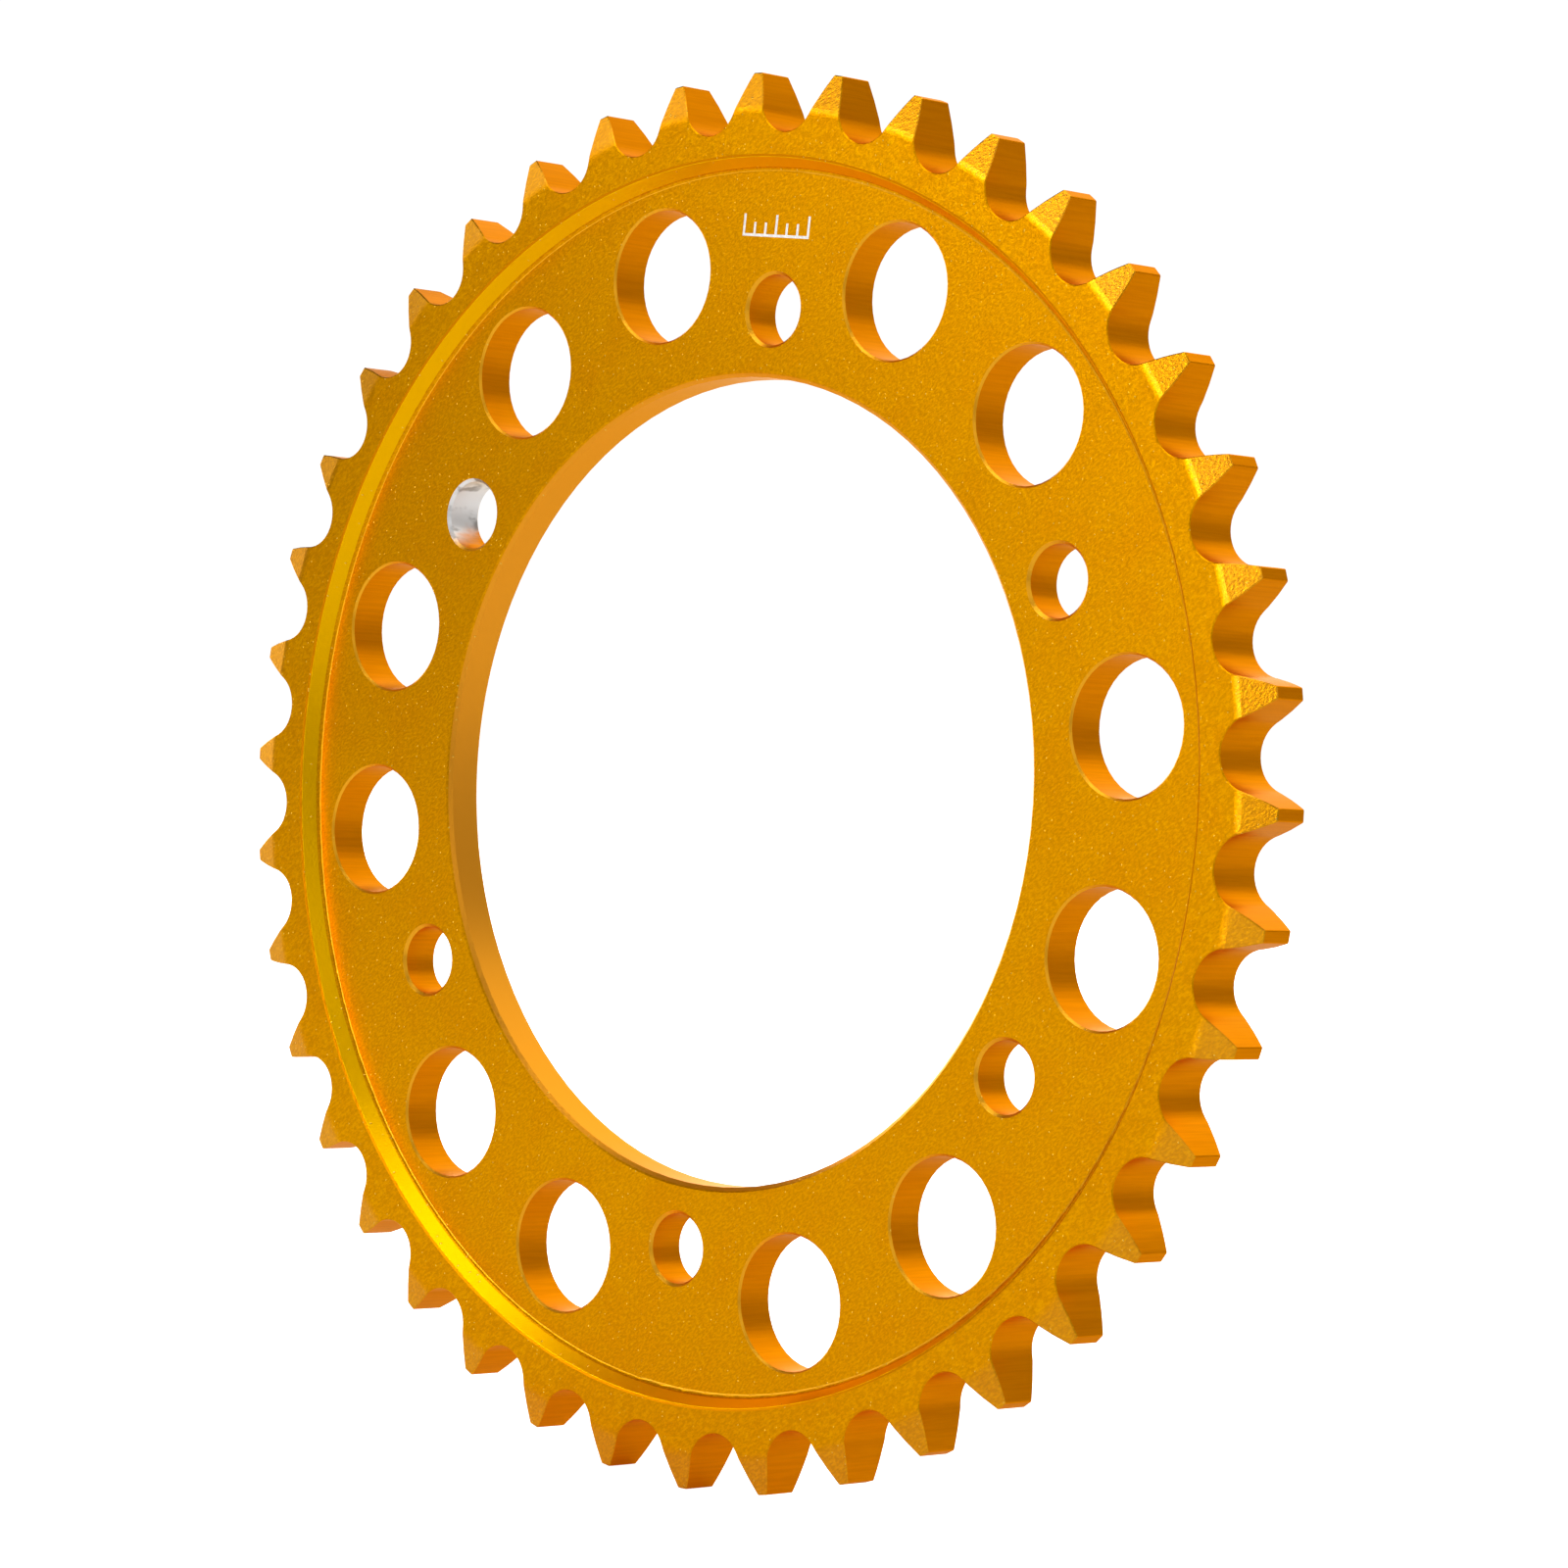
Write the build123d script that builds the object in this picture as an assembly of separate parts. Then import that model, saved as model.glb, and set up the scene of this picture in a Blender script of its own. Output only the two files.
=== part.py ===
"""Rear sprocket, 40 teeth, for 530 roller chain: one aluminium plate with a stepped tooth ring.

The axle line is the Y axis. The origin is the middle of the bore, halfway through the tooth ring.
The etched face looks to -Y, the face that seats on the wheel carrier looks to +Y, and one of the
six bolt holes is straight up. All sizes are in millimetres.
"""

import math
import os

from build123d import *

# Chain: 530, the standard sizes of its pitch and roller
PITCH = 15.875
ROLLER_DIA = 10.16
TEETH = 40

# Tooth gap, in the form of the roller chain standard
PITCH_RADIUS = PITCH / (2 * math.sin(math.pi / TEETH))
SEAT_RADIUS = 0.505 * ROLLER_DIA + 0.07
SEAT_HALF_ANGLE = 68.9
FLANK_RADIUS = 42.0
TIP_RADIUS = 104.9
TIP_ROUND = 0.3
GAP_PHASE = -0.55  # the gap next to the top bolt hole, degrees round from it

# Through the thickness, along Y
RING_WIDTH = 9.05
DISC_THICKNESS = 6.5
FRONT = -RING_WIDTH / 2
BACK = RING_WIDTH / 2
DISC_FRONT = BACK - DISC_THICKNESS

# Step between the disc and the tooth ring, on the front only
STEP_TOP_RADIUS = 92.35
STEP_FOOT_RADIUS = 90.65
STEP_FILLET = 0.7
STEP_BREAK = 0.25

# Side relief of the teeth, the same on both faces
RELIEF_START = 98.6
RELIEF_BLEND = 4.0
RELIEF_ANGLE = 17.0

# Bore and holes
BORE_RADIUS = 60.0
BORE_CHAMFER = 0.75
BOLT_COUNT = 6
BOLT_CIRCLE_RADIUS = 70.0
BOLT_HOLE_RADIUS = 5.25
BOLT_CHAMFER = 0.45
LIGHTENING_RADIUS = 10.0
LIGHTENING_CIRCLE_RADIUS = 77.6
LIGHTENING_OFFSET = 18.0  # degrees each side of every bolt hole
LIGHTENING_CHAMFER = 0.32

# Burr removal along the tooth outline, both faces
EDGE_BREAK = 0.15

COLOUR = Color(0.85, 0.55, 0.08)


def section():
    """Half section of the plate, radius along X and the axle direction along Y."""
    turn = math.radians(RELIEF_ANGLE)
    r_arc = RELIEF_START + RELIEF_BLEND * math.sin(turn)
    d_arc = RELIEF_BLEND * (1 - math.cos(turn))
    r_mid = RELIEF_START + RELIEF_BLEND * math.sin(turn / 2)
    d_mid = RELIEF_BLEND * (1 - math.cos(turn / 2))
    r_out = TIP_RADIUS + 1
    d_out = d_arc + (r_out - r_arc) * math.tan(turn)

    # The wall's foot fillet: tangent to the disc face and to the sloping wall
    wall = math.atan2(STEP_TOP_RADIUS - STEP_FOOT_RADIUS, RING_WIDTH - DISC_THICKNESS)
    reach = STEP_FILLET * math.tan((math.pi / 2 - wall) / 2)
    foot_in = (STEP_FOOT_RADIUS - reach, DISC_FRONT)
    foot_out = (STEP_FOOT_RADIUS + reach * math.sin(wall), DISC_FRONT - reach * math.cos(wall))
    wall_top = (
        STEP_TOP_RADIUS - STEP_BREAK * math.sin(wall),
        FRONT + STEP_BREAK * math.cos(wall),
    )

    with BuildSketch() as sk:
        with BuildLine():
            Polyline(
                foot_in,
                (BORE_RADIUS + BORE_CHAMFER, DISC_FRONT),
                (BORE_RADIUS, DISC_FRONT + BORE_CHAMFER),
                (BORE_RADIUS, BACK - BORE_CHAMFER),
                (BORE_RADIUS + BORE_CHAMFER, BACK),
                (RELIEF_START, BACK),
            )
            ThreePointArc((RELIEF_START, BACK), (r_mid, BACK - d_mid), (r_arc, BACK - d_arc))
            Polyline(
                (r_arc, BACK - d_arc),
                (r_out, BACK - d_out),
                (r_out, FRONT + d_out),
                (r_arc, FRONT + d_arc),
            )
            ThreePointArc((r_arc, FRONT + d_arc), (r_mid, FRONT + d_mid), (RELIEF_START, FRONT))
            Polyline(
                (RELIEF_START, FRONT), (STEP_TOP_RADIUS + STEP_BREAK, FRONT), wall_top, foot_out
            )
            TangentArc(
                foot_out,
                foot_in,
                tangent=(foot_out[0] - STEP_TOP_RADIUS, foot_out[1] - FRONT),
            )
        make_face()
    return sk.sketch


def turned_blank():
    """The plate as it leaves the lathe: disc, step, relieved rim and bore."""
    return revolve(section(), axis=Axis.Y, revolution_arc=360)


def gap_face():
    """One tooth gap, closed above the tips, centred on the +Y direction of its plane."""
    a = math.radians(SEAT_HALF_ANGLE)
    seat_end = (SEAT_RADIUS * math.sin(a), PITCH_RADIUS - SEAT_RADIUS * math.cos(a))
    # The flank bulges into the gap, so its centre lies on the tooth's side of the seat's end
    centre = (seat_end[0] + FLANK_RADIUS * math.sin(a), seat_end[1] - FLANK_RADIUS * math.cos(a))

    def flank(height):
        return centre[0] - math.sqrt(FLANK_RADIUS**2 - (height - centre[1]) ** 2)

    out = TIP_RADIUS + 3
    top = (flank(out), out)
    mid_height = (seat_end[1] + out) / 2
    mid = (flank(mid_height), mid_height)
    with BuildSketch() as sk:
        with BuildLine():
            ThreePointArc(
                (-seat_end[0], seat_end[1]), (0, PITCH_RADIUS - SEAT_RADIUS), seat_end
            )
            ThreePointArc(seat_end, mid, top)
            Line(top, (-top[0], top[1]))
            ThreePointArc((-top[0], top[1]), (-mid[0], mid[1]), (-seat_end[0], seat_end[1]))
        make_face()
    return sk.sketch


def tooth_outline():
    """The toothed outline as one face: a disc less the gaps, with rounded tip corners."""
    with BuildSketch() as sk:
        Circle(TIP_RADIUS)
        with PolarLocations(0, TEETH, start_angle=GAP_PHASE):
            add(gap_face(), mode=Mode.SUBTRACT)
        tips = [v for v in sk.vertices() if math.hypot(v.X, v.Y) > TIP_RADIUS - 0.01]
        fillet(tips, TIP_ROUND)
    return sk.sketch


def tooth_prism():
    """The outline carried through the whole thickness, standing on the XZ plane."""
    face = Plane.XZ * tooth_outline()
    return extrude(face, amount=TIP_RADIUS / 4, both=True)


def chamfered_hole(radius, chamfer, reach, angle):
    """Cutter for a through hole with both edges broken, along Y, at a polar place."""
    half = DISC_THICKNESS / 2
    with BuildSketch() as sk:
        with BuildLine():
            Polyline(
                (0, half + 1),
                (radius + chamfer + 1, half + 1),
                (radius, half - chamfer),
                (radius, -half + chamfer),
                (radius + chamfer + 1, -half - 1),
                (0, -half - 1),
                close=True,
            )
        make_face()
    cutter = revolve(sk.sketch, axis=Axis.Y, revolution_arc=360)
    turn = math.radians(angle)
    middle = (DISC_FRONT + BACK) / 2
    return Pos(reach * math.cos(turn), middle, reach * math.sin(turn)) * cutter


def hole_cutters():
    """All the bolt holes and lightening holes."""
    cutters = []
    for i in range(BOLT_COUNT):
        angle = 90 + i * 360 / BOLT_COUNT
        cutters.append(
            chamfered_hole(BOLT_HOLE_RADIUS, BOLT_CHAMFER, BOLT_CIRCLE_RADIUS, angle)
        )
        for side in (-1, 1):
            cutters.append(
                chamfered_hole(
                    LIGHTENING_RADIUS,
                    LIGHTENING_CHAMFER,
                    LIGHTENING_CIRCLE_RADIUS,
                    angle + side * LIGHTENING_OFFSET,
                )
            )
    return cutters


def break_tooth_edges(plate):
    """Chamfer where the tooth gaps and tips meet the faces; the turned circles stay as they are."""
    edges = []
    for edge in plate.edges():
        start, middle, end = edge @ 0, edge @ 0.5, edge @ 1
        radii = [math.hypot(p.X, p.Z) for p in (start, middle, end)]
        along_axle = abs(start.Y - end.Y) > 3
        turned = max(radii) - min(radii) < 1e-4 and radii[1] < TIP_RADIUS - 0.05
        if radii[1] > STEP_TOP_RADIUS + 2 and not along_axle and not turned:
            edges.append(edge)
    return plate.chamfer(EDGE_BREAK, None, edges)


def sprocket():
    """The whole plate: turned blank, cut to the toothed outline, deburred, then drilled."""
    blank = turned_blank() & tooth_prism()
    plate = break_tooth_edges(blank.solids()[0])
    for cutter in hole_cutters():
        plate = plate - cutter
    solid = plate.solids()[0]
    solid.label = "sprocket"
    solid.color = COLOUR
    return solid


def main():
    os.makedirs("parts", exist_ok=True)
    part = sprocket()
    box = part.bounding_box()
    corners = [round(v, 3) for v in (*box.min, *box.max)]
    print("sprocket", corners, round(part.volume, 1), part.is_valid)
    export_step(part, "parts/sprocket.step")


main()
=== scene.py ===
"""Rear sprocket for a motorcycle: one gold-anodised aluminium plate, standing on its teeth.

Everything is in metres. The axle line is Y, the stepped and etched face looks to -Y, and one bolt
hole is straight above the middle of the bore.
"""

import math

import bpy
from mathutils import Matrix, Vector


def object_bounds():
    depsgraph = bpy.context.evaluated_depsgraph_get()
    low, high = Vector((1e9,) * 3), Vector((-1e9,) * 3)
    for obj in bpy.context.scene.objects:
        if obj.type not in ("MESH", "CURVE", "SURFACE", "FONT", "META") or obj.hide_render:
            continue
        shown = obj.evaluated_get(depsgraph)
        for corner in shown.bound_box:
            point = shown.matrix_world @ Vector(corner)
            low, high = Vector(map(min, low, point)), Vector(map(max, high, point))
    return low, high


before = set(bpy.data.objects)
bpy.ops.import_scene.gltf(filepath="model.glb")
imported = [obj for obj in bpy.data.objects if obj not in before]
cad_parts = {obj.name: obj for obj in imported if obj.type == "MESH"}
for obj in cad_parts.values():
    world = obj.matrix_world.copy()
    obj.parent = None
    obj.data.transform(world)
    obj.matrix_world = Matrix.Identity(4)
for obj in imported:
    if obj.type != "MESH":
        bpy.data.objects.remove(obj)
cad_low, cad_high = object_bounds()

# ---------------------------------------------------------------------------
# Camera: a long lens, level with the axle and 44 degrees round to the right,
# rolled six degrees so that the plate leans as it was hung.
camera_data = bpy.data.cameras.new("camera")
camera_data.lens = 117.33
camera_data.sensor_width = 36.0
camera_data.clip_start, camera_data.clip_end = 0.01, 50.0
camera = bpy.data.objects.new("camera", camera_data)
bpy.context.scene.collection.objects.link(camera)

camera_azimuth, camera_elevation = math.radians(43.692), math.radians(3.128)
camera_roll = math.radians(5.940)
camera_distance = 0.74815
camera_target = Vector((0.012298, -0.001975, 0.000999))
back = Vector(
    (
        math.sin(camera_azimuth) * math.cos(camera_elevation),
        -math.cos(camera_azimuth) * math.cos(camera_elevation),
        math.sin(camera_elevation),
    )
)
level = (-back).cross(Vector((0, 0, 1))).normalized()
upright = back.cross(level)
right = level * math.cos(camera_roll) + upright * math.sin(camera_roll)
up = back.cross(right)
camera.matrix_world = Matrix.Translation(camera_target + back * camera_distance) @ (
    Matrix((right, up, back)).transposed().to_4x4()
)
bpy.context.scene.camera = camera
bpy.context.scene.view_settings.view_transform = "Standard"

# ---------------------------------------------------------------------------
# Floor: a plain white studio sweep under the teeth, laid flat and wide enough
# that its far edge is lost in the white surround.


class Wire:
    """One output socket of a shader node; sums, products and the like of wires add Math nodes."""

    def __init__(self, tree, socket):
        self.tree, self.socket = tree, socket

    def node(self, kind, settings=None, **sockets):
        """A node of that kind: its settings first, then its sockets' values or links."""
        made = self.tree.nodes.new(kind)
        for name, value in (settings or {}).items():
            setattr(made, name, value)
        for name, value in sockets.items():
            socket = made.inputs[int(name[1:]) if name[1:].isdigit() else name.replace("_", " ")]
            if isinstance(value, Wire):
                self.tree.links.new(value.socket, socket)
            else:
                socket.default_value = value
        return made

    def math(self, operation, *values):
        sockets = {f"i{i}": value for i, value in enumerate(values)}
        made = self.node("ShaderNodeMath", {"operation": operation}, **sockets)
        return Wire(self.tree, made.outputs[0])

    def __add__(self, other):
        return self.math("ADD", self, other)

    def __radd__(self, other):
        return self.math("ADD", other, self)

    def __sub__(self, other):
        return self.math("SUBTRACT", self, other)

    def __rsub__(self, other):
        return self.math("SUBTRACT", other, self)

    def __mul__(self, other):
        return self.math("MULTIPLY", self, other)

    def __rmul__(self, other):
        return self.math("MULTIPLY", other, self)

    def __truediv__(self, other):
        return self.math("DIVIDE", self, other)


def start_material(name):
    """A new material with no nodes, and a wire to add its nodes from."""
    material = bpy.data.materials.new(name)
    material.use_nodes = True
    material.node_tree.nodes.clear()
    return material, Wire(material.node_tree, None)


def blend(start, factor, one, two):
    """Colour one where factor is 0, colour two where it is 1."""
    made = start.node(
        "ShaderNodeMix",
        {"data_type": "RGBA", "blend_type": "MIX"},
        i0=factor,
        i6=one,
        i7=two,
    )
    return Wire(start.tree, made.outputs[2])


sweep_material, sweep = start_material("white_sweep")
floor_seen = Wire(sweep.tree, sweep.node("ShaderNodeLightPath").outputs["Is Camera Ray"])
sweep_shader = sweep.node(
    "ShaderNodeBsdfPrincipled",
    Base_Color=(0.86, 0.86, 0.86, 1),
    Roughness=0.9,
    Emission_Color=blend(sweep, floor_seen, (0.12, 0.12, 0.12, 1), (0.97, 0.97, 0.97, 1)),
    Emission_Strength=1.0,
)
sweep.node("ShaderNodeOutputMaterial", Surface=Wire(sweep.tree, sweep_shader.outputs[0]))
floor_mesh = bpy.data.meshes.new("floor")
floor_reach, floor_level = 12.0, cad_low.z
floor_mesh.from_pydata(
    [
        (x * floor_reach, y * floor_reach, floor_level)
        for x, y in ((-1, -1), (1, -1), (1, 1), (-1, 1))
    ],
    [],
    [(0, 1, 2, 3)],
)
floor_mesh.materials.append(sweep_material)
floor = bpy.data.objects.new("floor", floor_mesh)
bpy.context.scene.collection.objects.link(floor)

# ---------------------------------------------------------------------------
# Light: a faint white tent all round and ten soft boxes in it: a key with its
# fills in front of the face, two at the left, one beside the lens, three
# behind for the walls of the gaps and holes, and one overhead.
world = bpy.data.worlds.new("tent")
bpy.context.scene.world = world
world.use_nodes = True
world.node_tree.nodes.clear()
tent = Wire(world.node_tree, None)
seen = tent.node("ShaderNodeLightPath")
tent_strength = 0.12 + 0.95 * Wire(tent.tree, seen.outputs["Is Camera Ray"])
tent_light = tent.node("ShaderNodeBackground", Color=(1, 1, 1, 1), Strength=tent_strength)
tent.node("ShaderNodeOutputWorld", Surface=Wire(tent.tree, tent_light.outputs[0]))


def softbox(name, azimuth, elevation, distance, width, height, power):
    """A white area light facing the bore; azimuth 0 is in front of the face, 90 to its right."""
    data = bpy.data.lights.new(name, "AREA")
    data.shape, data.size, data.size_y = "RECTANGLE", width, height
    data.energy = power
    lamp = bpy.data.objects.new(name, data)
    a, e = math.radians(azimuth), math.radians(elevation)
    out = Vector((math.sin(a) * math.cos(e), -math.cos(a) * math.cos(e), math.sin(e)))
    lamp.location = out * distance
    lamp.rotation_mode = "QUATERNION"
    lamp.rotation_quaternion = (-out).to_track_quat("-Z", "Y")
    bpy.context.scene.collection.objects.link(lamp)


softbox("key", -28, 21, 1.3, 0.42, 0.42, 2.6)
softbox("key_left", -42, 24, 1.3, 0.36, 0.36, 0.9)
softbox("front_fill", -14, 9, 1.3, 0.36, 0.40, 2.5)
softbox("left_high", -66, 22, 1.3, 0.5, 0.5, 1.1)
softbox("left_low", -100, 0, 1.3, 0.6, 0.5, 2.8)
softbox("left_back", -130, 2, 1.3, 0.9, 0.7, 5.5)
softbox("right", 46, 28, 1.3, 0.7, 0.95, 1.9)
softbox("back_right", 134, 4, 1.3, 2.0, 1.0, 2.3)
softbox("back_high", -170, 35, 1.3, 1.5, 0.8, 6.0)
softbox("overhead", -20, 85, 1.3, 1.0, 1.0, 7.5)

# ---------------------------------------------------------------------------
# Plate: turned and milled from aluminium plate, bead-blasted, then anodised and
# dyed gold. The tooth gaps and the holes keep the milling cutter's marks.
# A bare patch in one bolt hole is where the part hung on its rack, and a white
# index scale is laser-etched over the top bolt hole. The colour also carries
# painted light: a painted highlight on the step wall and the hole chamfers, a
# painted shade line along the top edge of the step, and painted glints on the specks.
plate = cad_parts["sprocket"]
gold, tint = start_material("gold_anodising")

place = Wire(tint.tree, tint.node("ShaderNodeTexCoord").outputs["Object"])
facing = Wire(tint.tree, tint.node("ShaderNodeTexCoord").outputs["Normal"])
spot = tint.node("ShaderNodeSeparateXYZ", Vector=place)
px, py, pz = (Wire(tint.tree, spot.outputs[i]) for i in range(3))
radius = tint.math("SQRT", px * px + pz * pz)
lean = tint.node("ShaderNodeSeparateXYZ", Vector=facing)
face_on = tint.math("ABSOLUTE", Wire(tint.tree, lean.outputs[1]))
flat = tint.math("GREATER_THAN", face_on, 0.985)
wall = tint.math("LESS_THAN", face_on, 0.3)
slope = 1 - flat - wall


def spread(start, x, y, z):
    """Three wires as one vector."""
    made = start.node("ShaderNodeCombineXYZ", X=x, Y=y, Z=z)
    return Wire(start.tree, made.outputs[0])


def grain(start, where, scale, detail=2.0, rough=0.5):
    """Noise from 0 to 1 at a vector."""
    made = start.node(
        "ShaderNodeTexNoise",
        {"noise_dimensions": "3D"},
        Vector=where,
        Scale=scale,
        Detail=detail,
        Roughness=rough,
    )
    return Wire(start.tree, made.outputs[0])


def ramp(start, value, low, high):
    """0 below low, 1 above high, smooth between; high may be the smaller."""
    made = start.node(
        "ShaderNodeMapRange",
        {"interpolation_type": "SMOOTHSTEP"},
        Value=value,
        From_Min=low,
        From_Max=high,
    )
    return Wire(start.tree, made.outputs[0])


relief_start, relief_full = 0.0984, 0.1006
relief = ramp(tint, radius, relief_start, relief_full) * (1 - wall)

roll_angle = math.radians(38)
roll_cos, roll_sin = math.cos(roll_angle), math.sin(roll_angle)
along = roll_cos * px + roll_sin * pz
across = roll_cos * pz - roll_sin * px
blast = grain(tint, spread(tint, 0.5 * along, across, py), 3000.0, 2.0, 0.6)
speck_cells = tint.node(
    "ShaderNodeTexVoronoi",
    {"voronoi_dimensions": "2D", "feature": "F1"},
    Vector=spread(tint, px, pz, 0.0),
    Scale=900.0,
)
speck_near = ramp(tint, Wire(tint.tree, speck_cells.outputs["Distance"]), 0.14, 0.05)
speck_pick = tint.node(
    "ShaderNodeSeparateColor", Color=Wire(tint.tree, speck_cells.outputs["Color"])
)
speck = speck_near * ramp(tint, Wire(tint.tree, speck_pick.outputs[0]), 0.76, 1.0) * (1 - wall)

dye = grain(tint, place, 26.0, 2.0, 0.5)
mottle = grain(tint, place, 130.0, 3.0, 0.55)
gold_colour = blend(tint, dye, (0.79, 0.320, 0.0, 1), (0.87, 0.370, 0.0, 1))
gold_colour = blend(tint, ramp(tint, mottle, 0.40, 0.72), gold_colour, (0.82, 0.322, 0.0, 1))
gold_colour = blend(tint, 0.42 * ramp(tint, blast, 0.62, 0.36), gold_colour, (0.52, 0.18, 0.0, 1))
gold_colour = blend(tint, 0.36 * ramp(tint, blast, 0.55, 0.75), gold_colour, (0.96, 0.52, 0.0, 1))

streak = grain(tint, spread(tint, px, 0.04 * py, pz), 2200.0, 2.0, 0.6)
cut_dark, cut_light = (0.77, 0.228, 0.0, 1), (0.84, 0.262, 0.0, 1)
cut_colour = blend(tint, ramp(tint, streak, 0.3, 0.7), cut_dark, cut_light)
plate_colour = blend(tint, wall, gold_colour, cut_colour)
bore_edge, bore_rim, disc_rim = 0.0605, 0.061, 0.0905
bored = tint.math("LESS_THAN", radius, bore_edge) * (1 - flat)
plate_colour = blend(tint, bored, plate_colour, (0.90, 0.355, 0.02, 1))
step_middle, step_half, step_top, break_half = 0.09160, 0.00065, 0.09246, 0.00018
# Painted highlight: the step wall between the disc face and the ring is painted a bright yellow
# where the light catches it.
step_wall_highlight = tint.math("COMPARE", radius, step_middle, step_half) * (1 - flat)
plate_colour = blend(tint, step_wall_highlight, plate_colour, (0.99, 0.53, 0.0, 1))
# Painted shade: a dark brown line is painted all round the top edge of the step, where shade
# falls.
step_top_shade = tint.math("COMPARE", radius, step_top, break_half) * (1 - flat)
plate_colour = blend(tint, step_top_shade, plate_colour, (0.66, 0.22, 0.0, 1))
# Painted highlight: the hole chamfers are painted a brighter, paler gold than the face they are
# cut from.
chamfer_highlight = slope * tint.math("LESS_THAN", radius, disc_rim)
chamfer_highlight = chamfer_highlight * tint.math("GREATER_THAN", radius, bore_rim)
plate_colour = blend(tint, chamfer_highlight, plate_colour, (0.96, 0.44, 0.02, 1))
# Painted glint: the blast specks are also painted a pale bright yellow, on top of their bumps and
# smoother roughness.
plate_colour = blend(tint, 0.6 * speck, plate_colour, (1.0, 0.76, 0.12, 1))

hole_x, hole_z, hole_radius = -0.060622, 0.035, 0.00525
from_x, from_z = (px - hole_x) / hole_radius, (pz - hole_z) / hole_radius
from_axis = tint.math("SQRT", from_x * from_x + from_z * from_z)
stain = grain(tint, spread(tint, px, 0.5 * py, pz), 300.0, 3.0, 0.6)
bare = tint.math("LESS_THAN", from_axis, 1.085) * (1 - flat)
bare = bare * ramp(tint, from_z + 0.9 * stain - 70.0 * py, -0.50, 0.05)
bright_metal, stained_metal = (0.92, 0.90, 0.88, 1), (0.46, 0.43, 0.41, 1)
bare_colour = blend(tint, ramp(tint, stain, 0.50, 0.64), bright_metal, stained_metal)
plate_colour = blend(tint, bare, plate_colour, bare_colour)

tick_step, tick_half, mark_left, mark_foot = 0.0022, 0.000225, -0.0076, 0.0806
short_tick, long_tick, baseline_width = 0.0021, 0.0033, 0.0004
disc_face, face_reach = -0.001975, 0.0003
from_left, from_foot = px - mark_left, pz - mark_foot


def ticks_apart(start, step):
    """1 on a tick, for ticks that far apart, starting at the left end of the mark."""
    folded = start.math("WRAP", from_left, step / 2, -step / 2)
    return start.math("LESS_THAN", start.math("ABSOLUTE", folded), tick_half)


ticks = ticks_apart(tint, tick_step) * tint.math("LESS_THAN", from_foot, short_tick)
long_ticks = ticks_apart(tint, 3 * tick_step) * tint.math("LESS_THAN", from_foot, long_tick)
baseline = tint.math("LESS_THAN", from_foot, baseline_width)
etched = tint.math("MAXIMUM", tint.math("MAXIMUM", ticks, long_ticks), baseline)
etched = etched * tint.math("GREATER_THAN", from_foot, 0.0)
half_mark = 3 * tick_step
etched = etched * tint.math("COMPARE", px, mark_left + half_mark, half_mark + tick_half)
etched = etched * tint.math("COMPARE", py, disc_face, face_reach)
plate_colour = blend(tint, etched, plate_colour, (1.0, 0.98, 0.95, 1))

bump = tint.node(
    "ShaderNodeBump",
    Strength=0.7,
    Distance=0.00006,
    Height=(blast + 0.9 * speck) * (1 - wall) + 0.04 * streak * wall,
)
plate_shader = tint.node(
    "ShaderNodeBsdfPrincipled",
    Base_Color=plate_colour,
    Metallic=1.0,
    Roughness=0.36 + 0.06 * wall - 0.12 * speck - 0.06 * relief,
    Specular_Tint=(1.0, 0.8, 0.5, 1),
    Coat_Weight=0.16 * relief,
    Coat_Roughness=0.20,
    Coat_IOR=1.6,
    Normal=Wire(tint.tree, bump.outputs[0]),
)
tint.node("ShaderNodeOutputMaterial", Surface=Wire(tint.tree, plate_shader.outputs[0]))
for place_in_mesh in plate.material_slots:
    place_in_mesh.link = "OBJECT"
    place_in_mesh.material = gold
